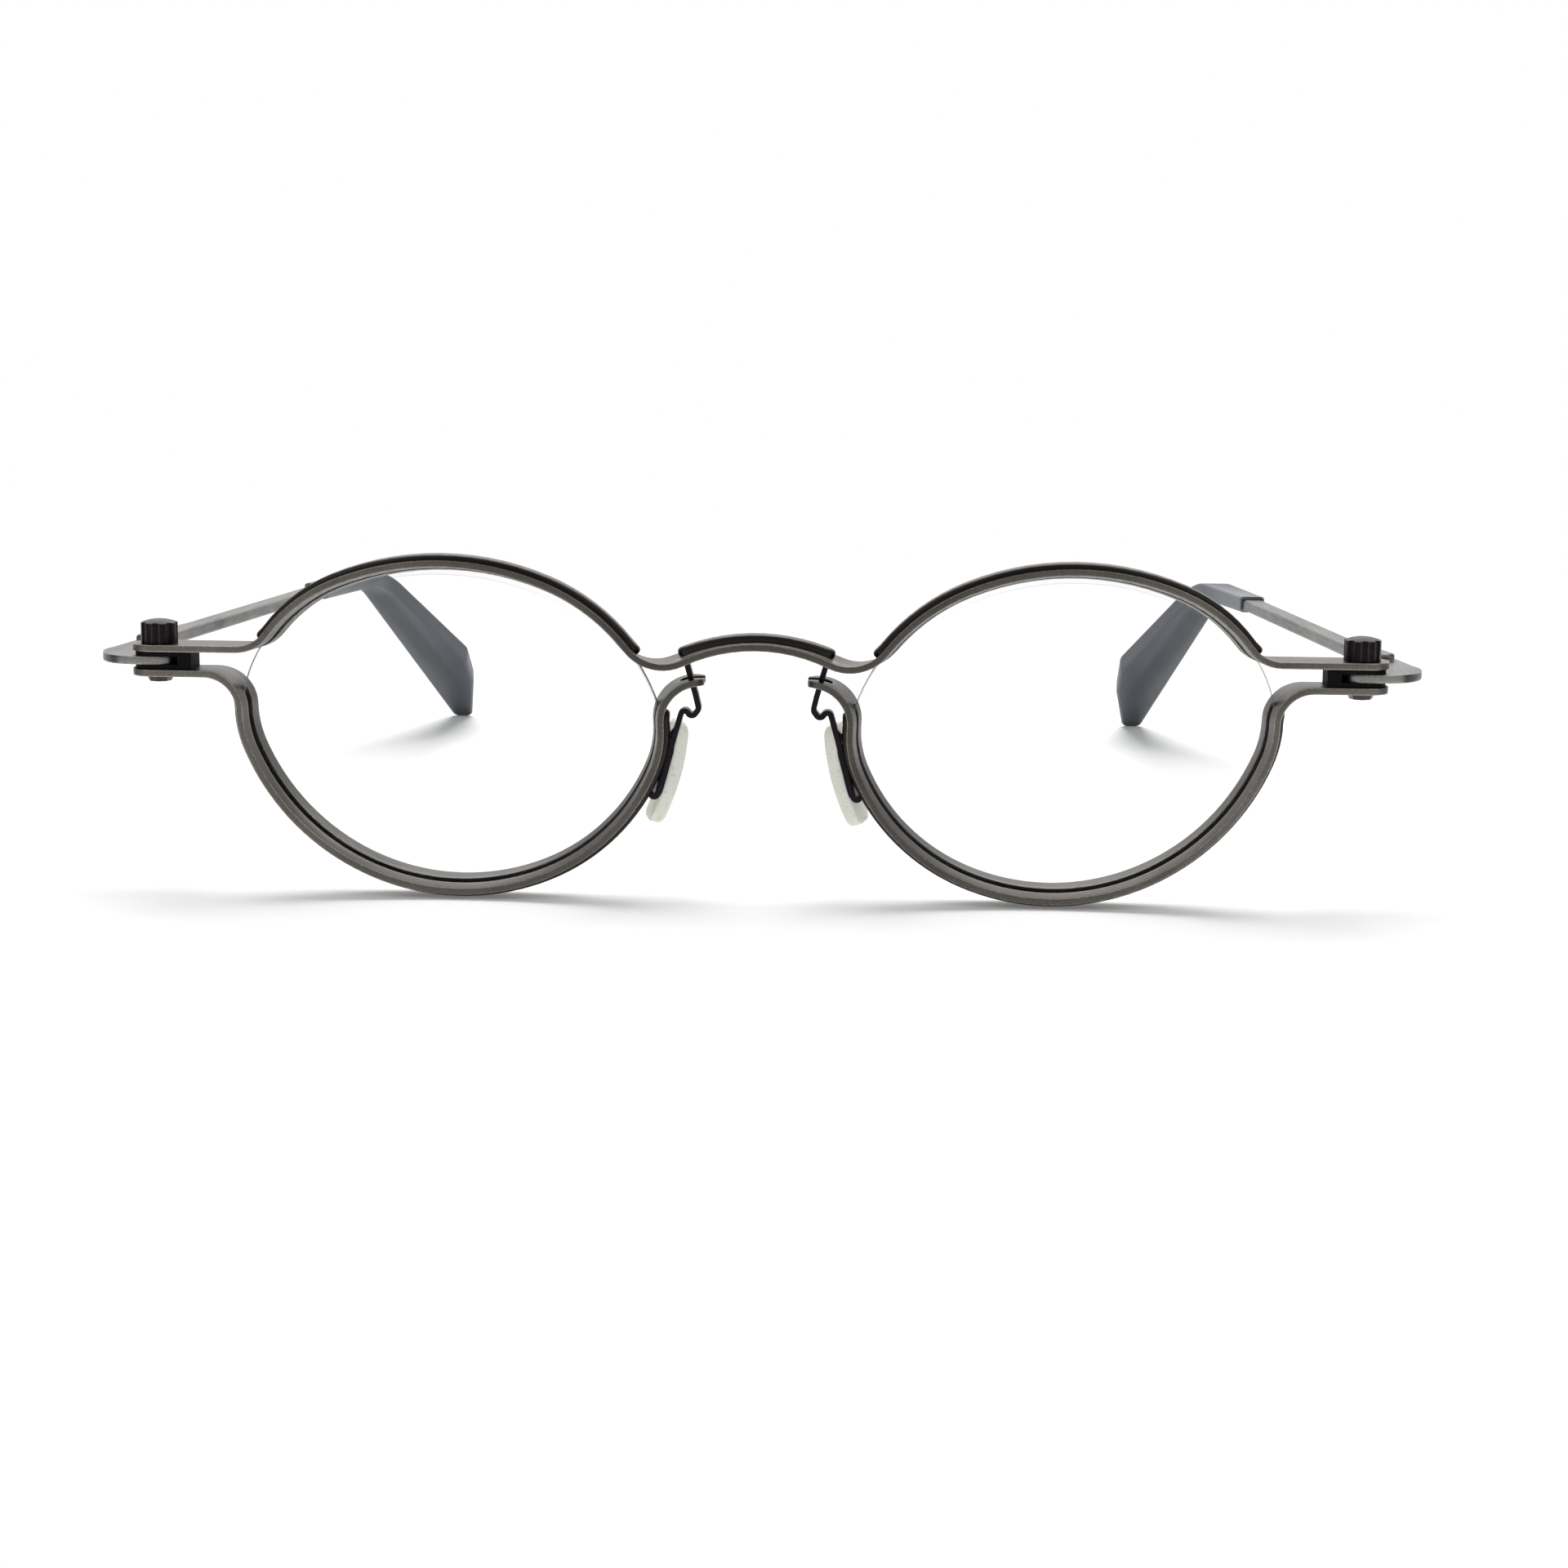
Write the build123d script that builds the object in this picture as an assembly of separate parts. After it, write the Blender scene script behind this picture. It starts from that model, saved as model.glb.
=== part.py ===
from build123d import *
import os
from math import asin, atan2, cos, degrees, radians, sin, sqrt, tan

os.makedirs("parts", exist_ok=True)

# Oval spectacles with a split ribbon front, in millimetres.
# While it is built, the front edges lie at Y = 0, +Y runs back to the temple tips,
# +X is the wearer's left and Z = 0 is the table. The last lines move the origin.

# Ribbon stock of the brow and the lower rims
ribbon_depth = 4.8
ribbon_thickness = 0.7
flare_angle = 9.5
bead_middle = 2.4
bead_width = 1.9
bead_height = 0.9
bead_round = 0.45
bead_run = 0.6
groove_width = 1.3
groove_depth = 0.8

# Lens oval of eight tangent arcs: the two at the side of the temple and below it follow from these
oval_turn = 22.5
outer_top_radius = 15.9
top_radius = 28.4
inner_top_radius = 20.2
inner_radius = 9.5
inner_low_radius = 20.2
low_radius = 23.1
lens_spacing = 65.2

# Brow ribbon: heights are above the middle of the lens
tab_rise = 7.82
tab_end = 2.8
tab_round = 2.3
bend_radius = 4.4
dip_rise = 6.6
dip_radius = 5.2
bridge_rise = 8.85
bridge_bead_share = 0.85

# Lower rims: the fork and its slot end inward of the lens oval's inner side
lower_tab_rise = 5.85
turn_radius = 4.2
hook_rise = 5.7
hook_radius = 4.7
fork_reach = 5.71
fork_round = 1.4
slot_width = 1.5
slot_end = 3.01

# Lenses
lens_front_radius = 120.0
lens_thickness = 2.0
lens_vertex = -0.25
lens_clearance = 0.12
tongue_clearance = 0.1

# Hinge stack: the hinge's reach counts from the outer side of the lens oval
hinge_reach = 10.11
hinge_y = 2.5
screw_diameter = 1.2
screw_clearance = 0.05
head_diameter = 3.1
head_height = 0.7
head_taper = 24.0
head_sides = 8
nut_diameter = 3.9
nut_height = 2.6
nut_crown = 0.4
nut_flutes = 8
flute_diameter = 1.3
flute_depth = 0.2
nut_wall = 0.6
block_width = 1.5
block_clearance = 0.15
layer_margin = 0.3
layer_round = 1.9

# Temple arms
plate_thickness = 0.85
plate_clearance = 0.03
eyelet_diameter = 4.4
lobe_reach = 6.75
lobe_middle = 2.3
lobe_depth = 10.6
neck_reach = 2.45
neck_end = 14.0
arm_turn = 7.0
arm_offset = 2.5
bar_lift = 0.42
bar_height = 1.25
bar_width = 2.4
bar_round = 0.35
nose_start = 11.5
nose_outer = 5.1
nose_end = 25.0
nose_round = 0.9
stub_length = 3.0

# Temple tips: starts and ends along the temple, insets from the hinge, and the slope behind the ear
sleeve_start = 70.0
sleeve_wall = 0.3
tip_thickness = 2.0
tip_round = 0.4
ear_start = 91.0
ear_outer = 6.1
ear_width = 4.1
ear_slope = 32.5
ear_bend = 15.0
ear_round = 20.0
paddle_start = 111.5
paddle_end = 118.0
paddle_inner = 18.2
paddle_round = 2.2
tip_end = 128.0
tip_end_inner = 16.6
tip_end_outer = 14.0
tip_end_round = 1.1
core_width = 1.5
core_thickness = 0.8
core_end = 119.0
core_end_middle = 15.4
core_clearance = 0.02

# Pad arms and nose pads: places count inward from the lens oval, heights from the lens's middle
wire_thickness = 0.6
wire_depth = 1.4
wire_places = (3.76, 4.76, 5.11, 4.31, 3.46, 0.61, 0.11)
wire_rises = (7.3, 3.8, 2.3, 1.25, 2.75, -7.4, -7.2)
wire_radii = (1.5, 0.6, 0.45, 0.42, 0.4)
web_places = (3.01, 2.01, 1.71, 1.71, 2.01, 2.31)
web_rises = (1.0, -0.3, -0.3, -0.9, -0.9, -2.2)
web_depth = 1.2
plate_width = 5.8
plate_height = 6.0
plate_round = 1.2
pad_drop = 4.4
pad_length = 11.2
pad_width = 7.2
pad_thickness = 1.7
pad_round = 3.3
pad_edge = 0.6
pad_splay = 12.0
pocket_inset = 0.85
pocket_width = 2.7
pocket_height = 7.4
pocket_wall = 0.6

overrun = 3.0

full_turn = 360
flare = ribbon_depth * tan(radians(flare_angle))
middle_growth = flare * (1 - bead_middle / ribbon_depth)
lens_x = lens_spacing / 2


def unit(angle):
    return Vector(cos(radians(angle)), sin(radians(angle)))


def oval():
    """The eight arcs about the middle of their box: centre, radius, first and last angle."""
    lean = top_radius - low_radius
    outer_low = outer_top_radius + inner_top_radius - inner_low_radius + sqrt(2) * lean
    outer = inner_radius + sqrt(2) * (inner_low_radius - outer_top_radius) - lean
    radii = (outer_top_radius, top_radius, inner_top_radius, inner_radius,
             inner_low_radius, low_radius, outer_low, outer)
    span = full_turn / len(radii)
    starts = [Vector(0, 0)]
    arcs = []
    for k, radius in enumerate(radii):
        first = oval_turn + k * span
        centre = starts[-1] - unit(first) * radius
        arcs.append((centre, radius, first, first + span))
        starts.append(centre + unit(first + span) * radius)
    top, left, low, right = [centre + unit(90 * (k + 1)) * radius
                             for k, (centre, radius, first, last) in enumerate(arcs[1::2])]
    middle = Vector((left.X + right.X) / 2, (low.Y + top.Y) / 2)
    return [(centre - middle, radius, first, last) for centre, radius, first, last in arcs]


arcs = oval()
half_height = arcs[1][0].Y + top_radius
half_width = inner_radius - arcs[3][0].X
inner_side = lens_x - half_width
hinge_x = lens_x + half_width + hinge_reach
tab_reach = hinge_x + tab_end
fork_x = inner_side - fork_reach
lens_z = half_height + middle_growth + ribbon_thickness + bead_height
lens_middle = Vector(lens_x, lens_z)
tab_under = lens_z + tab_rise
tab_top = tab_under + ribbon_thickness
lower_tab_top = lens_z + lower_tab_rise
lower_tab_under = lower_tab_top - ribbon_thickness


def at(y):
    """Plane of the front view, at depth y: its x is X and its y is Z."""
    return Plane(origin=(0, y, 0), x_dir=(1, 0, 0), z_dir=(0, -1, 0))


def leave(growth, radius, height, above, side):
    """Circle tangent to the grown oval and to a level line, and the angle where it touches the oval."""
    level = height + radius if above else height - radius
    for centre, oval_radius, first, last in arcs:
        rise = level - lens_z - centre.Y
        reach = oval_radius + growth + radius
        run = side * sqrt(max(reach ** 2 - rise ** 2, 0))
        angle = degrees(atan2(rise, run)) % full_turn
        if first <= angle <= last or first <= angle + full_turn <= last:
            return Vector(lens_x + centre.X + run, level), angle
    raise ValueError("no arc of the oval meets this bend")


def oval_edges(growth, first, last):
    """Oval arcs grown by an offset, from one angle to a larger one."""
    edges = []
    for centre, radius, start, end in arcs:
        for turn in (0, full_turn):
            a = max(first, start + turn)
            b = min(last, end + turn)
            if b > a:
                edges.append(CenterArc(centre + lens_middle, radius + growth, a, b - a))
    return edges


def brow_line(growth, lift):
    """Underside of half the brow ribbon, lifted, and the centre and radius of its bridge arc."""
    bend, bend_angle = leave(growth, bend_radius, tab_under, True, 1)
    dip, dip_angle = leave(growth, dip_radius, lens_z + dip_rise, True, -1)
    arch = bridge_rise - dip_rise
    reach = (dip.X ** 2 + arch ** 2) / (2 * arch)
    crown = Vector(0, lens_z + bridge_rise - reach + dip_radius)
    crown_angle = degrees(atan2(dip.Y - crown.Y, dip.X))
    edges = [
        CenterArc(crown, reach - dip_radius + lift, crown_angle, 90 - crown_angle),
        CenterArc(dip, dip_radius - lift, crown_angle + 180, dip_angle - crown_angle),
        CenterArc(bend, bend_radius - lift, bend_angle + 180, 90 - bend_angle),
        Line((bend.X, tab_under + lift), (tab_reach, tab_under + lift)),
    ]
    return edges + oval_edges(growth + lift, bend_angle, dip_angle), crown, reach - dip_radius


def brow_section(growth, y):
    """Section of the whole brow ribbon, its right half the mirror of its left."""
    under = brow_line(growth, 0)[0]
    over = brow_line(growth, ribbon_thickness)[0]
    side = under + over + [Line((tab_reach, tab_under), (tab_reach, tab_top))]
    return at(y) * make_face(side + [mirror(edge, Plane.YZ) for edge in side])


def rim_line(growth, lift):
    """Lens side of a lower rim, moved outward, from the fork round to the tab's end."""
    hook, hook_angle = leave(growth, hook_radius, lens_z + hook_rise, False, -1)
    turn, turn_angle = leave(growth, turn_radius, lower_tab_top, False, 1)
    turn_angle = turn_angle if turn_angle > 180 else turn_angle + full_turn
    level = lens_z + hook_rise - lift
    edges = [
        Line((fork_x, level), (hook.X, level)),
        CenterArc(hook, hook_radius - lift, hook_angle - 180, 270 - hook_angle),
        CenterArc(turn, turn_radius - lift, 90, turn_angle - 270),
        Line((turn.X, lower_tab_top - lift), (tab_reach, lower_tab_top - lift)),
    ]
    return edges + oval_edges(growth + lift, hook_angle, turn_angle)


def rim_section(growth, y):
    level = lens_z + hook_rise
    ends = [
        Line((fork_x, level), (fork_x, level - ribbon_thickness)),
        Line((tab_reach, lower_tab_top), (tab_reach, lower_tab_under)),
    ]
    return at(y) * make_face(rim_line(growth, 0) + rim_line(growth, ribbon_thickness) + ends)


def arc_frame(centre, angle):
    """Plane through an arc's axis: its x is radial and its y is depth behind the bead's middle."""
    outward = (cos(radians(angle)), 0, sin(radians(angle)))
    along = (-sin(radians(angle)), 0, cos(radians(angle)))
    return Plane(origin=(centre.X, bead_middle, centre.Y), x_dir=outward, z_dir=along)


def ridge(centre, first, last, root, crest, width, corner):
    """Ring piece of one arc, turned about its axis, with its corners rounded at the crest."""
    section = Pos((root + crest) / 2, 0) * Rectangle(abs(crest - root), width)
    if corner > 0:
        section = fillet(section.vertices().group_by(Axis.X)[-1 if crest > root else 0], corner)
    axis = Axis((centre.X, bead_middle, centre.Y), (0, -1, 0))
    return revolve(arc_frame(centre, first) * section, axis, last - first)


def ridge_nose(centre, angle, side, root, crest, width, corner):
    """Rounded end of a bead, half a turn about the radial line; side 1 faces the larger angles."""
    section = Pos((root + crest) / 2, side * width / 4) * Rectangle(abs(crest - root), width / 2)
    tips = section.vertices().group_by(Axis.X)[-1 if crest > root else 0].sort_by(Axis.Y)
    section = fillet(tips[-1] if side > 0 else tips[0], corner)
    frame = arc_frame(centre, angle)
    return revolve(frame * section, Axis(frame.origin, frame.x_dir), 180)


def bead_end(centre, radius, angle, side):
    """Bead run on from the oval round a bend that turns away, up to its nose."""
    size = (radius - ribbon_thickness / 2, radius - ribbon_thickness - bead_height, bead_width, bead_round)
    last = angle + side * degrees(bead_run / (radius - ribbon_thickness))
    return ridge(centre, min(angle, last), max(angle, last), *size) + ridge_nose(centre, last, side, *size)


def oval_ridge(first, last, root, crest, width, corner):
    """Ridge along the oval from one angle to a larger one; root and crest count from its line."""
    pieces = []
    for centre, radius, start, end in arcs:
        for turn in (0, full_turn):
            a = max(first, start + turn)
            b = min(last, end + turn)
            if b > a:
                place = centre + lens_middle
                pieces.append(ridge(place, a, b, radius + root, radius + crest, width, corner))
    return pieces


def oval_prism(growth, front, back):
    face = make_face(oval_edges(growth, oval_turn, oval_turn + full_turn))
    return extrude(at(front) * face, front - back)


def upright(face, low, high):
    """Plan outline raised from one height to another."""
    return extrude(Pos(0, 0, low) * face, high - low)


def screw_hole(low, high):
    radius = screw_diameter / 2 + screw_clearance
    return upright(Pos(hinge_x, hinge_y) * Circle(radius), low, high)


def both(part):
    """The part and its mirror image on the other side."""
    return [part, mirror(part, Plane.YZ)]


bead_size = (middle_growth + ribbon_thickness / 2, middle_growth + ribbon_thickness + bead_height,
             bead_width, bead_round)
groove = oval_ridge(oval_turn, oval_turn + full_turn, middle_growth - overrun, middle_growth + groove_depth,
                    groove_width, 0)

# Brow ribbon, in one piece from tab to tab
brow = loft([brow_section(flare, 0), brow_section(0, ribbon_depth)], ruled=True)
brow = fillet(brow.edges().filter_by(Axis.Z).group_by(Axis.X)[-1], tab_round)
brow = fillet(brow.edges().filter_by(Axis.Z).group_by(Axis.X)[0], tab_round)
bend, bend_angle = leave(middle_growth, bend_radius, tab_under, True, 1)
dip, dip_angle = leave(middle_growth, dip_radius, lens_z + dip_rise, True, -1)
bead = oval_ridge(bend_angle, dip_angle, *bead_size)
bead.append(bead_end(bend, bend_radius, bend_angle + 180, 1))
bead.append(bead_end(dip, dip_radius, dip_angle + 180, -1))
for piece in bead:
    brow = brow + both(piece)
crown, bridge_radius = brow_line(middle_growth, 0)[1:]
crown_angle = degrees(atan2(dip.Y - crown.Y, dip.X))
bead_angle = 90 - bridge_bead_share * (90 - crown_angle)
bridge_low = bridge_radius + ribbon_thickness / 2
bridge_high = bridge_radius + ribbon_thickness + bead_height
brow = brow + ridge(crown, bead_angle, 180 - bead_angle, bridge_low, bridge_high, bead_width, bead_round)
brow = brow + both(ridge_nose(crown, bead_angle, -1, bridge_low, bridge_high, bead_width, bead_round))
for piece in groove + [screw_hole(tab_under - overrun, tab_top + overrun)]:
    brow = brow - both(piece)

# Lower rim of the left lens: tab, turn, lens oval and the forked hook at the nose
rim = loft([rim_section(flare, 0), rim_section(0, ribbon_depth)], ruled=True)
rim = fillet(rim.edges().filter_by(Axis.Z).group_by(Axis.X)[-1], tab_round)
hook, hook_angle = leave(middle_growth, hook_radius, lens_z + hook_rise, False, -1)
turn, turn_angle = leave(middle_growth, turn_radius, lower_tab_top, False, 1)
turn_angle = turn_angle if turn_angle > 180 else turn_angle + full_turn
rim = rim + oval_ridge(hook_angle, turn_angle, *bead_size)
rim = rim + bead_end(hook, hook_radius, hook_angle - 180, 1)
rim = rim + bead_end(turn, turn_radius, turn_angle - 180, -1)
slot_x = inner_side - slot_end - slot_width / 2
slot = Pos(slot_x, bead_middle) * Circle(slot_width / 2)
slot = slot + Pos(slot_x - overrun, bead_middle) * Rectangle(2 * overrun, slot_width)
corners = Pos(fork_x + fork_round / 2, ribbon_depth / 2) * Rectangle(fork_round, ribbon_depth)
corners = corners - Pos(fork_x + overrun, ribbon_depth / 2) * RectangleRounded(
    2 * overrun, ribbon_depth, fork_round)
fork_level = lens_z + hook_rise
rim = rim - upright(slot + corners, fork_level - overrun, fork_level + overrun)
rim = rim - groove - screw_hole(lower_tab_under - overrun, lower_tab_top + overrun)

# Left lens: a curved blank cut to the oval, with a tongue round its edge
blank_radius = half_width + overrun
back_radius = lens_front_radius - lens_thickness
front_turn = degrees(asin(blank_radius / lens_front_radius))
back_turn = degrees(asin(blank_radius / back_radius))
curve_middle = Vector(0, lens_vertex + lens_front_radius)
front_arc = CenterArc(curve_middle, lens_front_radius, -90, front_turn)
back_arc = CenterArc(curve_middle, back_radius, -90, back_turn)
blank = make_face([front_arc, back_arc, Line(front_arc @ 0, back_arc @ 0), Line(front_arc @ 1, back_arc @ 1)])
blank = Pos(lens_x, 0, lens_z) * revolve(blank, Axis.Y, full_turn)
body = oval_prism(-lens_clearance, -overrun, ribbon_depth + overrun)
tongue_growth = middle_growth + groove_depth - tongue_clearance
tongue = oval_prism(tongue_growth, bead_middle - groove_width / 2 + tongue_clearance,
                    bead_middle + groove_width / 2 - tongue_clearance)
lens = blank & (body + tongue)

# Hinge stack: spacer block, washers, screw and cap nut
gap_middle = (tab_under + lower_tab_top) / 2
plate_low = gap_middle - plate_thickness / 2
plate_high = gap_middle + plate_thickness / 2
block_outer = hinge_x - eyelet_diameter / 2 - block_clearance
block_face = Pos(block_outer - block_width / 2, ribbon_depth / 2) * Rectangle(
    block_width, ribbon_depth - 2 * layer_margin)
block = upright(block_face, lower_tab_top, tab_under)
layer_outer = tab_reach - layer_margin
layer_face = Pos((block_outer + layer_outer) / 2, ribbon_depth / 2) * Rectangle(
    layer_outer - block_outer, ribbon_depth - 2 * layer_margin)
layer_face = fillet(layer_face.vertices().group_by(Axis.X)[-1], layer_round)
bore = screw_hole(lower_tab_under - overrun, tab_top + overrun)
upper_washer = upright(layer_face, plate_high + plate_clearance, tab_under) - bore
lower_washer = upright(layer_face, lower_tab_top, plate_low - plate_clearance) - bore

head_face = RegularPolygon(head_diameter / 2, head_sides)
head = extrude(head_face, head_height, taper=head_taper)
head = Pos(hinge_x, hinge_y, lower_tab_under) * Rot(180, 0, 0) * head
shank_top = tab_top + nut_height - nut_wall
shank = upright(Pos(hinge_x, hinge_y) * Circle(screw_diameter / 2), lower_tab_under, shank_top)
screw = head + shank

nut_face = Circle(nut_diameter / 2)
flute_place = nut_diameter / 2 + flute_diameter / 2 - flute_depth
nut_face = nut_face - PolarLocations(flute_place, nut_flutes) * Circle(flute_diameter / 2)
crown_sphere = (nut_diameter ** 2 / 4 + nut_crown ** 2) / (2 * nut_crown)
nut = extrude(nut_face, nut_height) & Pos(0, 0, nut_height - crown_sphere) * Sphere(crown_sphere)
nut = Pos(hinge_x, hinge_y, tab_top) * nut
nut = nut - upright(Pos(hinge_x, hinge_y) * Circle(screw_diameter / 2 + screw_clearance),
                    tab_top - overrun, shank_top + screw_clearance)

# Left temple arm: eyelet plate, beaded bar and the core inside the tip
bar_low = plate_low + bar_lift
bar_line = bar_low + bar_height / 2
ear_fall = tan(radians(ear_slope))
ear_secant = 1 / cos(radians(ear_slope))
end_lift = tip_round * (ear_fall + ear_secant - 1)
ear_line = tip_thickness / 2 * ear_secant + (tip_end - ear_start) * ear_fall - end_lift
arm_slope = (bar_line - ear_line) / (ear_start - nose_start)


def slab(thickness):
    """Side view of the temple's line, thickened and spread far to both sides of the left temple."""
    front = (nose_start - overrun, bar_line + overrun * arm_slope)
    back = (tip_end + overrun, ear_line - (tip_end + overrun - ear_start) * ear_fall)
    path = FilletPolyline(front, (ear_start, ear_line), back, radius=ear_bend)
    side = Plane(origin=(0, 0, 0), x_dir=(0, 1, 0), z_dir=(1, 0, 0))
    return extrude(side * make_face(offset(path, thickness / 2).edges()), hinge_x + lobe_reach + overrun)


def arm_inner(y):
    """Inner side of the bar, straight and square to the hinge's reach."""
    return hinge_x + arm_offset / cos(radians(arm_turn)) - (y - hinge_y) * tan(radians(arm_turn))


def plan(points, radii):
    return make_face(FilletPolyline(*points, radius=radii, close=True).edges())


bar_across = bar_width / cos(radians(arm_turn))
stub_end = sleeve_start + stub_length
bar_face = plan((
    (arm_inner(nose_start), nose_start),
    (hinge_x + nose_outer, nose_start),
    (arm_inner(nose_end) + bar_across, nose_end),
    (arm_inner(stub_end) + bar_across, stub_end),
    (arm_inner(stub_end), stub_end),
), (nose_round, nose_round, ear_round, 0, 0))
ear_x = hinge_x - ear_outer
ear_middle = ear_x - ear_width / 2
core_line = FilletPolyline((arm_inner(sleeve_start) + bar_across / 2, sleeve_start), (ear_middle, ear_start),
                           (hinge_x - core_end_middle, core_end), radius=ear_round)
core_face = make_face(offset(core_line, core_width / 2).edges())


def bar_and_core(gap):
    """Bar up to the end of its stub and the core behind it, both grown by a gap."""
    bar = upright(offset(bar_face, gap) if gap else bar_face, -overrun, tab_top) & slab(bar_height + 2 * gap)
    core = upright(offset(core_face, gap) if gap else core_face, -overrun, tab_top)
    return bar, core & slab(core_thickness + 2 * gap)


bar, core = bar_and_core(0)
crown_edges = bar.faces().sort_by(Axis.Z)[-1].edges()
bar = fillet(crown_edges, bar_round)

front_edge = hinge_y - eyelet_diameter / 2
lobe_place = Pos(hinge_x + lobe_middle, front_edge + lobe_depth / 2)
lobe = lobe_place * Ellipse(lobe_reach - lobe_middle, lobe_depth / 2)
lobe = lobe & lobe_place * Pos(lobe_reach / 2, 0) * Rectangle(lobe_reach, lobe_depth)
neck = make_face(Polyline(
    (hinge_x, front_edge),
    (hinge_x + lobe_middle, front_edge),
    (hinge_x + lobe_reach, front_edge + lobe_depth / 2),
    (hinge_x + nose_outer, neck_end),
    (arm_inner(neck_end), neck_end),
    (hinge_x + neck_reach, hinge_y + eyelet_diameter / 2),
    (hinge_x, hinge_y + eyelet_diameter / 2),
    close=True))
plate_face = lobe + neck + Pos(hinge_x, hinge_y) * Circle(eyelet_diameter / 2)
plate = upright(plate_face, plate_low, plate_high) - bore
arm = plate + bar + core

# Left temple tip: a sleeve that widens into a paddle behind the ear
tip_face = plan((
    (arm_inner(sleeve_start) - sleeve_wall, sleeve_start),
    (arm_inner(sleeve_start) + bar_across + sleeve_wall, sleeve_start),
    (ear_x, ear_start),
    (hinge_x - tip_end_outer, tip_end),
    (hinge_x - tip_end_inner, tip_end),
    (hinge_x - paddle_inner, paddle_end),
    (hinge_x - paddle_inner, paddle_start),
    (ear_x - ear_width, ear_start),
), (0, 0, ear_round, tip_end_round, tip_end_round, paddle_round, paddle_round, ear_round))
tip = upright(tip_face, -overrun, tab_top) & slab(tip_thickness)
tip = fillet(tip.edges().filter_by(lambda edge: edge.length > tip_thickness + overrun), tip_round)
for piece in bar_and_core(core_clearance):
    tip = tip - piece

# Left pad arm: a bent strip from the brow, through the fork, to the rim's bead and the pad's plate
wire_points = [(inner_side - place, lens_z + rise) for place, rise in zip(wire_places, wire_rises)]
wire_line = FilletPolyline(*wire_points, radius=wire_radii)
wire_face = make_face(offset(wire_line, wire_thickness / 2).edges())
wire = extrude(at(bead_middle - wire_depth / 2) * wire_face, -wire_depth)
web_points = [(inner_side - place, lens_z + rise) for place, rise in zip(web_places, web_rises)]
web_face = make_face(Polyline(*web_points, close=True))
web = extrude(at(bead_middle - web_depth / 2) * web_face, -web_depth)

crest, heel = [Vector(*point) for point in wire_points[-3:-1]]
seat_share = (crest.Y - lens_z + pad_drop) / (crest.Y - heel.Y)
seat = crest + (heel - crest) * seat_share
backward = Vector(sin(radians(pad_splay)), cos(radians(pad_splay)), 0)
upward = Vector(crest.X - heel.X, 0, crest.Y - heel.Y).normalized()
pad_frame = Plane(origin=(seat.X, bead_middle, seat.Y), x_dir=backward, z_dir=backward.cross(upward))


def on_pad(face, low, high):
    """Outline in the pad's frame raised from one height to another, outboard positive."""
    return pad_frame * extrude(Pos(0, 0, low) * face, high - low)


half_wire = wire_thickness / 2
plate_place = Pos(plate_width / 2 - wire_depth / 2, 0)
plate_outline = plate_place * RectangleRounded(plate_width, plate_height, plate_round)
pad_plate = on_pad(plate_outline, -half_wire, half_wire)
pad_arm = wire + web + pad_plate - brow - rim

# Left nose pad: a soft cushion with a pocket at its back that grips the plate
pad_place = Pos(pad_width / 2 - wire_depth / 2, 0)
cushion = on_pad(pad_place * RectangleRounded(pad_width, pad_length, pad_round),
                 -half_wire - pad_thickness, -half_wire)
cushion = fillet(cushion.edges(), pad_edge)
pocket_middle = pad_width - wire_depth / 2 - pocket_inset - pocket_width / 2
pocket = on_pad(Pos(pocket_middle, 0) * RectangleRounded(pocket_width, pocket_height, plate_round),
                -wire_thickness, half_wire + pocket_wall)
pad = cushion + pocket - pad_arm

parts = {"brow_frame": brow}
pairs = {
    "lower_rim": rim,
    "lens": lens,
    "pad_arm": pad_arm,
    "nose_pad": pad,
    "hinge_screw": screw,
    "hinge_knob": nut,
    "upper_washer": upper_washer,
    "lower_washer": lower_washer,
    "spacer_block": block,
    "temple_arm": arm,
    "temple_tip": tip,
}
for name, left in pairs.items():
    parts["left_" + name], parts["right_" + name] = both(left)

# The origin goes to the middle of the underside of the box round the open spectacles
whole = Compound(children=[copy for part in parts.values() for copy in part.solids()]).bounding_box()
home = Pos(0, -(whole.min.Y + whole.max.Y) / 2, -whole.min.Z)
for name, part in parts.items():
    export_step(home * part, "parts/" + name + ".step")
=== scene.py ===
import math

import bmesh
import bpy
from mathutils import Matrix, Vector


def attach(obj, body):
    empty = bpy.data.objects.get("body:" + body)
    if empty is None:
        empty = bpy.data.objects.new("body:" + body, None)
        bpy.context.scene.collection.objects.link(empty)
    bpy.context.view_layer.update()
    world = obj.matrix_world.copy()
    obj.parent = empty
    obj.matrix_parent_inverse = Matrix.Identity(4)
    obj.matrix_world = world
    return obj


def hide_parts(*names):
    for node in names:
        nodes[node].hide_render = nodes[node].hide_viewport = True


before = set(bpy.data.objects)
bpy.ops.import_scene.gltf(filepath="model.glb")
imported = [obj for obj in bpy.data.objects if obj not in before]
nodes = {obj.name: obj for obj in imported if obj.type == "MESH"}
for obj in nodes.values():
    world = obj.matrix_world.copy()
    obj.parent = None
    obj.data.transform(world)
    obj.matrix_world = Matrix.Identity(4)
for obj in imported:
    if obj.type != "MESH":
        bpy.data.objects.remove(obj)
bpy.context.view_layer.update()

# The camera stands in front of the lenses, a little right of their middle and twice as high as
# they are. Its place and turns come from matching mirrored points of both halves.
camera_place = Vector((0.01578, -0.40218, 0.07314))
camera_yaw = math.radians(2.14)
camera_pitch = math.radians(-10.04)
camera_roll = math.radians(-0.58)
camera_data = bpy.data.cameras.new("camera")
camera_data.sensor_width = 36
camera_data.lens = 74.16
camera = bpy.data.objects.new("camera", camera_data)
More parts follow.
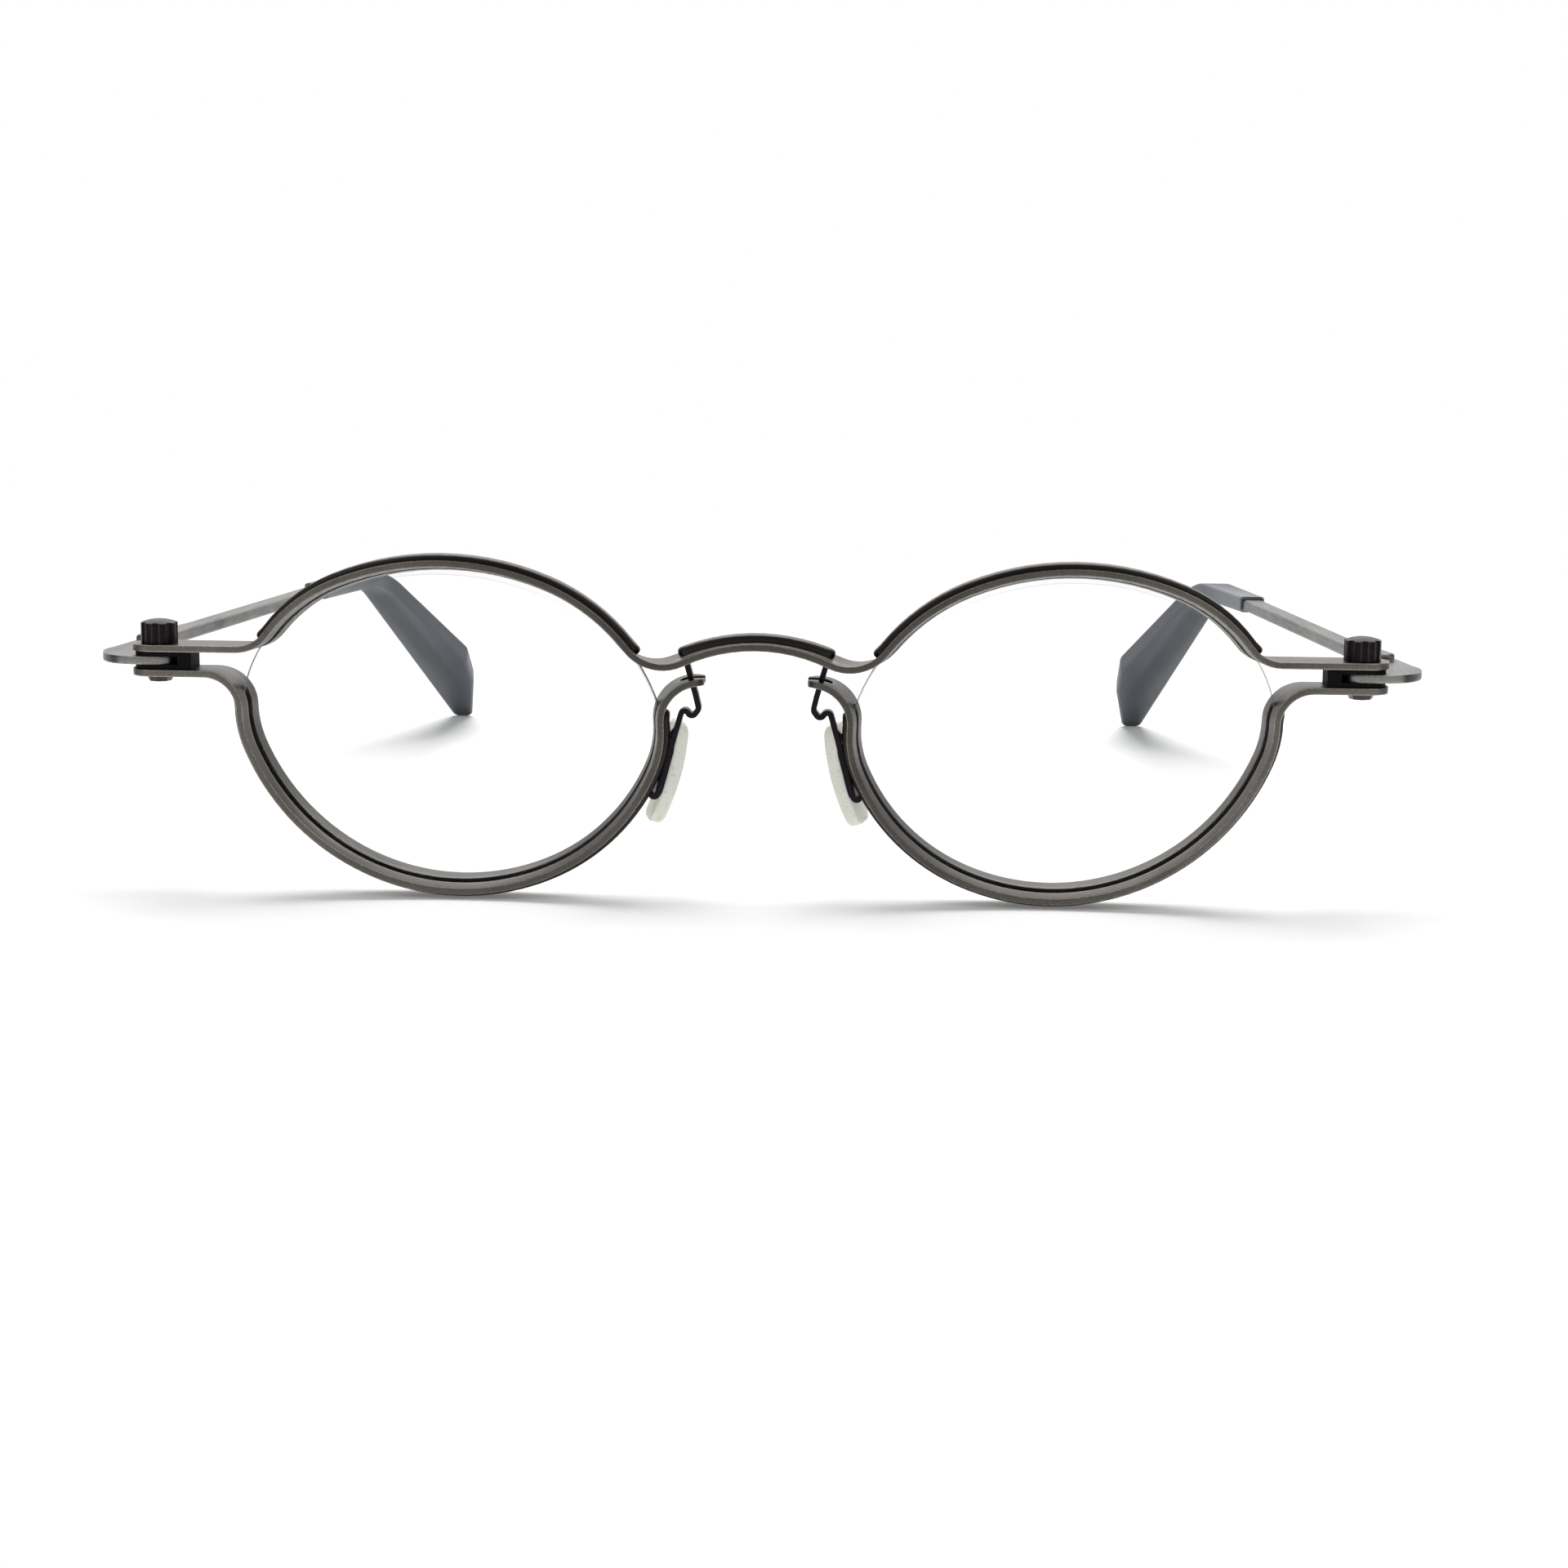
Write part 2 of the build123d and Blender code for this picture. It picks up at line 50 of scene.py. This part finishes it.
camera.matrix_world = (
    Matrix.Translation(camera_place)
    @ Matrix.Rotation(camera_yaw, 4, "Z")
    @ Matrix.Rotation(camera_pitch, 4, "X")
    @ Matrix.Rotation(camera_roll, 4, "Y")
    @ Matrix.Rotation(math.pi / 2, 4, "X")
)
bpy.context.scene.collection.objects.link(camera)
bpy.context.scene.camera = camera
bpy.context.scene.view_settings.view_transform = "Standard"

# The table and backdrop are one white sweep of card, flat under the spectacles and curved up
# behind them. It shows white to the camera and keeps the soft shadow.
sweep_reach = 5.0
sweep_back = 0.9
sweep_radius = 0.35
sweep_rise = 1.5
sweep_steps = 24
edge_slack = 0.01
card_colour = (0.86, 0.865, 0.855, 1)
card_lift = 0.14
card_fade = (0.1, 0.28)


class Shade:
    """Wraps a node's output, so that shader maths reads as Python."""

    def __init__(self, finish, output):
        self.finish = finish
        self.output = output

    def maths(self, operation, first, second):
        return self.finish.node("ShaderNodeMath", {"operation": operation}, {0: first, 1: second})

    def __add__(self, other):
        return self.maths("ADD", self, other)

    def __sub__(self, other):
        return self.maths("SUBTRACT", self, other)

    def __rsub__(self, other):
        return self.maths("SUBTRACT", other, self)

    def __mul__(self, other):
        return self.maths("MULTIPLY", self, other)

    __radd__ = __add__
    __rmul__ = __mul__


class Finish:
    """A material under construction, named for the surface that it covers."""

    def __init__(self, name):
        self.material = bpy.data.materials.new(name)
        self.material.use_nodes = True
        self.tree = self.material.node_tree
        self.tree.nodes.clear()
        self.end = self.tree.nodes.new("ShaderNodeOutputMaterial")

    def node(self, kind, settings=None, sockets=None, out=0):
        made = self.tree.nodes.new(kind)
        for name, value in (settings or {}).items():
            setattr(made, name, value)
        for name, value in (sockets or {}).items():
            if isinstance(value, Shade):
                self.tree.links.new(value.output, made.inputs[name])
            else:
                made.inputs[name].default_value = value
        return Shade(self, made.outputs[out])

    def place(self):
        """Where a point lies on its piece, in the piece's own frame."""
        return self.node("ShaderNodeTexCoord", out="Object")

    def axis(self, vector, letter):
        return self.node("ShaderNodeSeparateXYZ", sockets={"Vector": vector}, out=letter)

    def noise(self, place, scale, detail, roughness=0.5):
        return self.node("ShaderNodeTexNoise", sockets={
            "Vector": place, "Scale": scale, "Detail": detail, "Roughness": roughness})

    def limit(self, shade, low, high):
        """0 below one value and 1 above another, with a straight run between."""
        return self.node("ShaderNodeMapRange", {"clamp": True},
                         {"Value": shade, "From Min": low, "From Max": high})

    def mix(self, factor, first, second):
        """Colour between two colours."""
        return self.node("ShaderNodeMix", {"data_type": "RGBA"},
                         {"Factor": factor, "A": first, "B": second}, out=2)

    def rounding(self, radius):
        """Normal that is rounded over the edges, and how far a face turns away from it."""
        rounded = self.node("ShaderNodeBevel", {"samples": 6}, {"Radius": radius})
        flat = self.node("ShaderNodeNewGeometry", out="Normal")
        likeness = self.node("ShaderNodeVectorMath", {"operation": "DOT_PRODUCT"},
                             {0: rounded, 1: flat}, out="Value")
        return rounded, 1 - likeness

    def open_air(self, reach):
        """1 on the open faces of a piece, and less in its corners."""
        return self.node("ShaderNodeAmbientOcclusion", {"samples": 8, "only_local": True},
                         {"Distance": reach}, out="AO")

    def surface(self, shade):
        self.tree.links.new(shade.output, self.end.inputs["Surface"])
        return self.material


sweep = bmesh.new()
bmesh.ops.create_grid(sweep, x_segments=1, y_segments=1, size=sweep_reach)
for corner in sweep.verts:
    corner.co.y = min(corner.co.y, sweep_back)
edge = [e for e in sweep.edges if all(v.co.y > sweep_back - edge_slack for v in e.verts)]
bmesh.ops.spin(sweep, geom=edge, cent=(0, sweep_back, sweep_radius), axis=(1, 0, 0),
               angle=math.pi / 2, steps=sweep_steps)
edge = [e for e in sweep.edges if all(v.co.z > sweep_radius - edge_slack for v in e.verts)]
risen = bmesh.ops.extrude_edge_only(sweep, edges=edge)["geom"]
bmesh.ops.translate(sweep, vec=(0, 0, sweep_rise),
                    verts=[v for v in risen if isinstance(v, bmesh.types.BMVert)])
bmesh.ops.recalc_face_normals(sweep, faces=sweep.faces)
card_mesh = bpy.data.meshes.new("card_sweep")
sweep.to_mesh(card_mesh)
sweep.free()
for face in card_mesh.polygons:
    face.use_smooth = True
card = bpy.data.objects.new("card_sweep", card_mesh)
bpy.context.scene.collection.objects.link(card)
card_finish = Finish("white_card")
seen = card_finish.node("ShaderNodeLightPath", out="Is Camera Ray")
mirrored = card_finish.node("ShaderNodeLightPath", out="Is Glossy Ray")
through = card_finish.node("ShaderNodeLightPath", out="Is Transmission Ray")
shown = seen + mirrored + through
card_reach = card_finish.node("ShaderNodeVectorMath", {"operation": "LENGTH"},
                              {0: card_finish.place()}, out="Value")
lift = card_finish.node("ShaderNodeEmission", sockets={"Strength": card_lift * shown})
glow = card_finish.node("ShaderNodeEmission", sockets={"Strength": shown})
card_face = card_finish.node("ShaderNodeBsdfDiffuse", sockets={"Color": card_colour})
card_near = card_finish.node("ShaderNodeAddShader", sockets={0: card_face, 1: lift})
card_mesh.materials.append(card_finish.surface(card_finish.node("ShaderNodeMixShader", sockets={
    0: card_finish.limit(card_reach, *card_fade), 1: card_near, 2: glow})))


# A soft lamp hangs over the spectacles and a larger one stands behind them, so that the shadows
# fall towards the camera. Two weak ones at the sides light the front edges.
def soft_lamp(name, place, aim, size, power):
    data = bpy.data.lights.new(name, "AREA")
    data.shape = "RECTANGLE"
    data.size, data.size_y = size
    data.energy = power
    lamp = bpy.data.objects.new(name, data)
    lamp.location = place
    lamp.rotation_euler = (Vector(aim) - Vector(place)).to_track_quat("-Z", "Y").to_euler()
    bpy.context.scene.collection.objects.link(lamp)


soft_lamp("lamp_over", place=(0, 0.16, 0.7), aim=(0, -0.03, 0), size=(0.6, 0.45), power=5.2)
soft_lamp("lamp_back", place=(0, 0.6, 0.5), aim=(0, -0.03, 0.02), size=(0.8, 0.4), power=1.5)
for name, way in (("lamp_left", -1), ("lamp_right", 1)):
    soft_lamp(name, place=(0.45 * way, -0.5, 0.6), aim=(0, -0.05, 0.02), size=(0.6, 0.6), power=0.9)
room_colour = (0.84, 0.86, 0.88, 1)
room_strength = 0.26
world = bpy.data.worlds.new("room")
world.use_nodes = True
room_air = world.node_tree.nodes["Background"]
room_air.inputs["Color"].default_value = room_colour
room_air.inputs["Strength"].default_value = room_strength
bpy.context.scene.world = world

# The brow ribbon and the two lower rims are bent from one flat nickel-alloy strip, with a bead
# pressed into its outside. They have an antique pewter finish, brown-grey and brushed along the
# strip. Shade is painted into the recesses and onto the bead's sides, and highlights are painted
# with the real wear along the edges, the cut faces and the ledge in front of the bead.
bead_front = (-0.0632, -0.0629)
bead_back = (-0.0601, -0.0598)
ledge_back = (-0.0627, -0.0624)
handled_near = 0.01
handled_far = 0.055
corner_reach = 0.0013


def dress(node, material):
    slots = nodes[node].data.materials
    slots.clear()
    slots.append(material)


def pewter(name, dark, light, rub_and_highlight_colour, streak_scale, roughness, wear_and_highlight, edge_wear_and_sheen, blunt):
    """Brushed metal, darker where handled least, with painted shade in its corners and painted highlights on
    its edges.
    """
    finish = Finish(name)
    place = finish.place()
    along = finish.node("ShaderNodeMapping", sockets={"Vector": place, "Scale": streak_scale})
    streaks = finish.noise(along, 1.0, 4.0, 0.62)
    grain = finish.noise(place, 2600.0, 3.0, 0.7)
    clouds = finish.noise(place, 140.0, 3.0)
    rounded, sharp = finish.rounding(blunt)
    # Edge rub: real wear on the rounded edges, with a painted highlight line there too.
    rub_and_highlight = finish.limit(sharp + 0.06 * (grain - 0.5), 0.02, 0.2)
    facing = finish.axis(finish.node("ShaderNodeTexCoord", out="Normal"), "Y")
    depth = finish.axis(place, "Y")
    across = finish.axis(place, "X")
    cut = finish.limit(facing * facing, 0.5, 0.9)
    # Painted shade on the bead's front and back sides.
    bead_side_shade = finish.limit(facing * facing, 0.15, 0.6) * finish.limit(depth, *bead_front) * (
        1 - finish.limit(depth, *bead_back))
    # Real patina, darkest near the bridge, times the painted shade on the bead's sides.
    handled_and_bead_shade = (0.55 + 0.45 * finish.limit(across * across, handled_near ** 2, handled_far ** 2)) * (
        1 - 0.85 * bead_side_shade)
    air = finish.open_air(corner_reach)
    # Painted highlight on the strip's top just in front of the bead.
    ledge_highlight = (1 - finish.limit(depth, *ledge_back)) * (1 - cut) * (1 - finish.limit(air, 0.8, 0.97))
    # Painted shade in the piece's corners and recesses, from ambient occlusion.
    recess_shade = 0.35 + 0.65 * finish.limit(air, 0.2, 0.9)
    tone = finish.limit(streaks * 0.5 + grain * 0.25 + clouds * 0.45, 0.42, 0.82)
    base = finish.mix(tone * recess_shade * handled_and_bead_shade, dark, light)
    # Cut faces are lighter: partly bare worn metal, partly a painted sheen of light from the front.
    edged = finish.mix(cut * edge_wear_and_sheen * handled_and_bead_shade * (0.6 + 0.8 * grain), base, rub_and_highlight_colour)
    bright = finish.limit(rub_and_highlight * wear_and_highlight * recess_shade * handled_and_bead_shade + ledge_highlight * wear_and_highlight, 0.0, 1.0)
    ripple = finish.node("ShaderNodeBump", sockets={
        "Strength": 0.3, "Distance": 0.00003, "Height": streaks + grain * 0.7, "Normal": rounded})
    return finish.surface(finish.node("ShaderNodeBsdfPrincipled", sockets={
        "Base Color": finish.mix(bright, edged, rub_and_highlight_colour),
        "Metallic": 0.92 - 0.4 * bright,
        "Roughness": roughness + 0.2 * (grain - 0.5) - 0.1 * rub_and_highlight,
        "Normal": ripple,
    }))


ribbon_finish = pewter(
    "ribbon_pewter", dark=(0.022, 0.019, 0.017, 1), light=(0.13, 0.118, 0.107, 1),
    rub_and_highlight_colour=(0.78, 0.73, 0.65, 1), streak_scale=(60.0, 2600.0, 60.0), roughness=0.36,
    wear_and_highlight=0.8, edge_wear_and_sheen=0.1, blunt=0.00025)
for node in ("brow_frame", "left_lower_rim", "right_lower_rim"):
    dress(node, ribbon_finish)

# Each temple is stamped from the same alloy as the ribbon, a flat eyelet plate with a raised bar
# that is brushed along its length. It turns on the hinge screw.
# Its pewter carries the same painted shade in corners and painted highlights with the wear on edges.
temple_finish = pewter(
    "temple_pewter", dark=(0.045, 0.042, 0.04, 1), light=(0.21, 0.203, 0.196, 1),
    rub_and_highlight_colour=(0.6, 0.58, 0.54, 1), streak_scale=(2600.0, 70.0, 2600.0), roughness=0.36,
    wear_and_highlight=0.7, edge_wear_and_sheen=0.25, blunt=0.0004)
for side in ("left", "right"):
    dress(side + "_temple_arm", temple_finish)

# The hinge screws have low heads with eight flats, in the same pewter. The knobs are fluted cap
# nuts with a purple-black plating, satin on the flutes and a little rubbed on the crown. Both get
# the pewter's painted shade in corners and painted highlights on their edges.
screw_finish = pewter(
    "screw_pewter", dark=(0.05, 0.042, 0.04, 1), light=(0.24, 0.21, 0.2, 1),
    rub_and_highlight_colour=(0.5, 0.46, 0.44, 1), streak_scale=(900.0, 900.0, 900.0), roughness=0.38,
    wear_and_highlight=0.5, edge_wear_and_sheen=0.0, blunt=0.00015)
knob_finish = pewter(
    "knob_plating", dark=(0.006, 0.0045, 0.005, 1), light=(0.028, 0.021, 0.023, 1),
    rub_and_highlight_colour=(0.17, 0.15, 0.15, 1), streak_scale=(700.0, 700.0, 2600.0), roughness=0.4,
    wear_and_highlight=0.6, edge_wear_and_sheen=0.0, blunt=0.00015)
for side in ("left", "right"):
    dress(side + "_hinge_screw", screw_finish)
    dress(side + "_hinge_knob", knob_finish)

# Washers and spacer blocks are matt black moulded plastic, clamped between the two tabs.
# Their corners are slightly blunt and their faces have a fine grain.
black_dark = (0.002, 0.002, 0.0022, 1)
black_light = (0.008, 0.0075, 0.008, 1)
black_blunt = 0.00008
black_finish = Finish("black_moulding")
black_grain = black_finish.noise(black_finish.place(), 1800.0, 4.0)
black_edge = black_finish.node("ShaderNodeBevel", {"samples": 6}, {"Radius": black_blunt})
black_skin = black_finish.node("ShaderNodeBump", sockets={
    "Strength": 0.3, "Distance": 0.00002, "Height": black_grain, "Normal": black_edge})
black_material = black_finish.surface(black_finish.node("ShaderNodeBsdfPrincipled", sockets={
    "Base Color": black_finish.mix(black_grain, black_dark, black_light),
    "Roughness": 0.6 + 0.2 * black_grain,
    "Specular IOR Level": 0.12,
    "Normal": black_skin,
}))
for side in ("left", "right"):
    for part in ("upper_washer", "lower_washer", "spacer_block"):
        dress(side + "_" + part, black_material)

# Pad arms are bent from a thin strip and plated purple-black. They are welded to the brow and to
# the rim's bead, and end in the plate that carries the nose pad.
# Its plating carries the pewter's painted shade in corners and painted highlights on edges.
pad_arm_finish = pewter(
    "pad_arm_plating", dark=(0.012, 0.01, 0.014, 1), light=(0.1, 0.085, 0.105, 1),
    rub_and_highlight_colour=(0.2, 0.18, 0.2, 1), streak_scale=(700.0, 500.0, 260.0), roughness=0.38,
    wear_and_highlight=0.5, edge_wear_and_sheen=0.0, blunt=0.00015)
for side in ("left", "right"):
    dress(side + "_pad_arm", pad_arm_finish)

# Lenses are clear coated blanks with a tongue round their edge that sits in the rims' groove.
# Their faces hardly show. Their cut edge is ground and reads as a grey line. Low down their side
# wall is painted more solid grey, a painted light over the shade in the lower rims' groove.
tongue_front_depth = (-0.06207, -0.06204)
tongue_back_depth = (-0.06091, -0.06088)
wall_fill_rise = (0.009, 0.016)
lens_blunt = 0.0004
lens_corner = 0.0005
ground_dark = (0.17, 0.175, 0.175, 1)
ground_light = (0.27, 0.275, 0.27, 1)
lens_finish = Finish("clear_lens")
lens_place = lens_finish.place()
lens_facing = lens_finish.axis(lens_finish.node("ShaderNodeTexCoord", out="Normal"), "Y")
lens_depth = lens_finish.axis(lens_place, "Y")
lens_rise = lens_finish.axis(lens_place, "Z")
side_wall = 1 - lens_finish.limit(lens_facing * lens_facing, 0.1, 0.5)
tongue = lens_finish.limit(lens_depth, *tongue_front_depth) * (
    1 - lens_finish.limit(lens_depth, *tongue_back_depth))
seen_inside = lens_finish.node("ShaderNodeNewGeometry", out="Backfacing")
tongue_front = tongue * (1 - lens_finish.limit(lens_facing, -0.9, -0.5)) * (1 - seen_inside)
lens_sharp = lens_finish.rounding(lens_blunt)[1]
rim_line = tongue_front * lens_finish.limit(lens_sharp, 0.0, 0.06) * (
    lens_finish.limit(lens_finish.open_air(lens_corner), 0.8, 0.97))
haze = lens_finish.noise(lens_place, 900.0, 3.0)
gloss = lens_finish.node("ShaderNodeFresnel", sockets={"IOR": 1.5})
# Painted light: the side wall is made more solid and grey low down, lifting the shade in the lower rims'
# groove.
painted_wall_fill = 0.05 + 0.55 * (1 - lens_finish.limit(lens_rise, *wall_fill_rise))
ground_edge_and_fill = 0.95 * tongue * side_wall + 0.95 * rim_line + 0.05 * tongue_front + painted_wall_fill * side_wall
lens_material = lens_finish.surface(lens_finish.node("ShaderNodeBsdfPrincipled", sockets={
    "Base Color": lens_finish.mix(haze, ground_dark, ground_light),
    "Roughness": 0.05 + 0.02 * haze + 0.5 * lens_finish.limit(ground_edge_and_fill, 0.0, 0.3),
    "Alpha": 0.01 + 0.5 * gloss * gloss * (1 - seen_inside) + ground_edge_and_fill * 0.85,
}))
for side in ("left", "right"):
    dress(side + "_lens", lens_material)

# Temple tips are dark blue-grey acetate, moulded over the metal core. The core shows as a darker
# band inside them. Light through the thin acetate is painted in, paler along the edges and over the sleeve.
core_start = Vector((0.05595, 0.0271))
core_end = Vector((0.0487, 0.0551))
core_run = (core_end - core_start).normalized()
core_fade = (0.045, 0.056)
sleeve_fade = (0.007, 0.022)
tip_blunt = 0.0004
tip_dark = (0.038, 0.044, 0.056, 1)
tip_light = (0.088, 0.098, 0.118, 1)
core_colour = (0.012, 0.016, 0.028, 1)
thin_light_colour = (0.26, 0.27, 0.28, 1)
millimetres = 1000
tip_finish = Finish("tip_acetate")
tip_place = tip_finish.place()
tip_along = tip_finish.axis(tip_place, "Y")
tip_side = tip_finish.node("ShaderNodeMath", {"operation": "ABSOLUTE"}, {0: tip_finish.axis(tip_place, "X")})
off_core = millimetres * (
    (tip_side - core_start.x) * core_run.y - (tip_along - core_start.y) * core_run.x)
core_band = (1 - tip_finish.limit(off_core * off_core, 0.5, 3.2)) * (
    1 - tip_finish.limit(tip_along, *core_fade))
tip_cloud = tip_finish.noise(tip_place, 220.0, 4.0)
tip_speck = tip_finish.noise(tip_place, 3000.0, 2.0)
tip_edge, tip_sharp = tip_finish.rounding(tip_blunt)
# Painted light through the thin acetate: paler along the edges and over the sleeve.
painted_edge_light = tip_finish.limit(tip_sharp, 0.0, 0.12)
painted_sleeve_light = 1 - tip_finish.limit(tip_along, *sleeve_fade)
tip_body = tip_finish.mix(0.6 * tip_cloud + 0.4 * tip_speck, tip_dark, tip_light)
tip_cored = tip_finish.mix(core_band * 0.85, tip_body, core_colour)
tip_skin = tip_finish.node("ShaderNodeBump", sockets={
    "Strength": 0.2, "Distance": 0.00003, "Height": tip_speck + tip_cloud, "Normal": tip_edge})
tip_material = tip_finish.surface(tip_finish.node("ShaderNodeBsdfPrincipled", sockets={
    "Base Color": tip_finish.mix(0.35 * painted_edge_light + 0.6 * painted_sleeve_light, tip_cored, thin_light_colour),
    "Roughness": 0.36 + 0.14 * tip_cloud,
    "Normal": tip_skin,
}))
for side in ("left", "right"):
    dress(side + "_temple_tip", tip_material)

# Nose pads are soft silicone cushions pushed over the plates of the pad arms. The layer that
# lies on the nose has yellowed. The lip behind, which grips the plate, has stayed clear.
pad_seat = Vector((0.009758, -0.061475, 0.014129))
pad_back = Vector((0.2079, 0.9781, 0.0))
pad_up = Vector((-0.2591, 0.0551, 0.9643))
pad_out = pad_back.cross(pad_up)
cushion_middle = Vector((0.0021, -0.0003, -0.0011))
cushion_half = Vector((0.0026, 0.0056, 0.00082))
cushion_bend = 0.0006
cushion_easing = 14
lip_middle = Vector((0.0043, 0.0, 0.0001))
lip_half = Vector((0.00135, 0.0037, 0.00078))
lip_easing = 6
block_cuts = 13
dust_colour = (0.42, 0.42, 0.36, 1)


def silicone(name, dark, light, alpha):
    finish = Finish(name)
    place = finish.place()
    cloud = finish.noise(place, 420.0, 4.0)
    speck = finish.noise(place, 2400.0, 2.0)
    dust = finish.limit(speck, 0.6, 0.7)
    skin = finish.node("ShaderNodeBump", sockets={
        "Strength": 0.25, "Distance": 0.00004, "Height": cloud + speck})
    return finish.surface(finish.node("ShaderNodeBsdfPrincipled", sockets={
        "Base Color": finish.mix(0.45 * dust, finish.mix(cloud, dark, light), dust_colour),
        "Roughness": 0.4 + 0.2 * cloud,
        "Subsurface Weight": 0.2,
        "Subsurface Radius": (0.002, 0.002, 0.0016),
        "Alpha": alpha,
        "Normal": skin,
    }))


def soft_block(middle, half, easing, bend, slot):
    """Block with eased edges. Its ends bend away from the nose."""
    block = bmesh.new()
    bmesh.ops.create_cube(block, size=2)
    bmesh.ops.subdivide_edges(block, edges=block.edges, cuts=block_cuts, use_grid_fill=True)
    for _ in range(easing):
        bmesh.ops.smooth_vert(block, verts=block.verts, factor=0.5, use_axis_x=True,
                              use_axis_y=True, use_axis_z=True)
    reach = [max(v.co[axis] for v in block.verts) for axis in range(3)]
    bmesh.ops.scale(block, verts=block.verts, vec=[h / r for h, r in zip(half, reach)])
    for vert in block.verts:
        vert.co.z += bend * (vert.co.y / half.y) ** 2
    bmesh.ops.translate(block, verts=block.verts, vec=middle)
    for face in block.faces:
        face.material_index = slot
    return block


pad_materials = (
    silicone("pad_yellowed", dark=(0.93, 0.94, 0.74, 1), light=(0.98, 0.98, 0.86, 1), alpha=0.55),
    silicone("pad_clear", dark=(0.7, 0.72, 0.7, 1), light=(0.8, 0.82, 0.8, 1), alpha=0.4),
)
pad_place = Matrix((pad_back, pad_up, pad_out)).transposed().to_4x4()
pad_place.translation = pad_seat
for side, way in (("left", 1), ("right", -1)):
    pad_mesh = bpy.data.meshes.new(side + "_pad_cushion")
    pad = bmesh.new()
    for block in (soft_block(cushion_middle, cushion_half, cushion_easing, cushion_bend, slot=0),
                  soft_block(lip_middle, lip_half, lip_easing, bend=0.0, slot=1)):
        block.to_mesh(pad_mesh)
        block.free()
        pad.from_mesh(pad_mesh)
    bmesh.ops.transform(pad, matrix=pad_place, verts=pad.verts)
    bmesh.ops.scale(pad, verts=pad.verts, vec=(way, 1, 1))
    bmesh.ops.recalc_face_normals(pad, faces=pad.faces)
    pad.to_mesh(pad_mesh)
    pad.free()
    for face in pad_mesh.polygons:
        face.use_smooth = True
    for material in pad_materials:
        pad_mesh.materials.append(material)
    cushion = bpy.data.objects.new(side + "_pad_cushion", pad_mesh)
    bpy.context.scene.collection.objects.link(cushion)
    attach(cushion, "front")
    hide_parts(side + "_nose_pad")
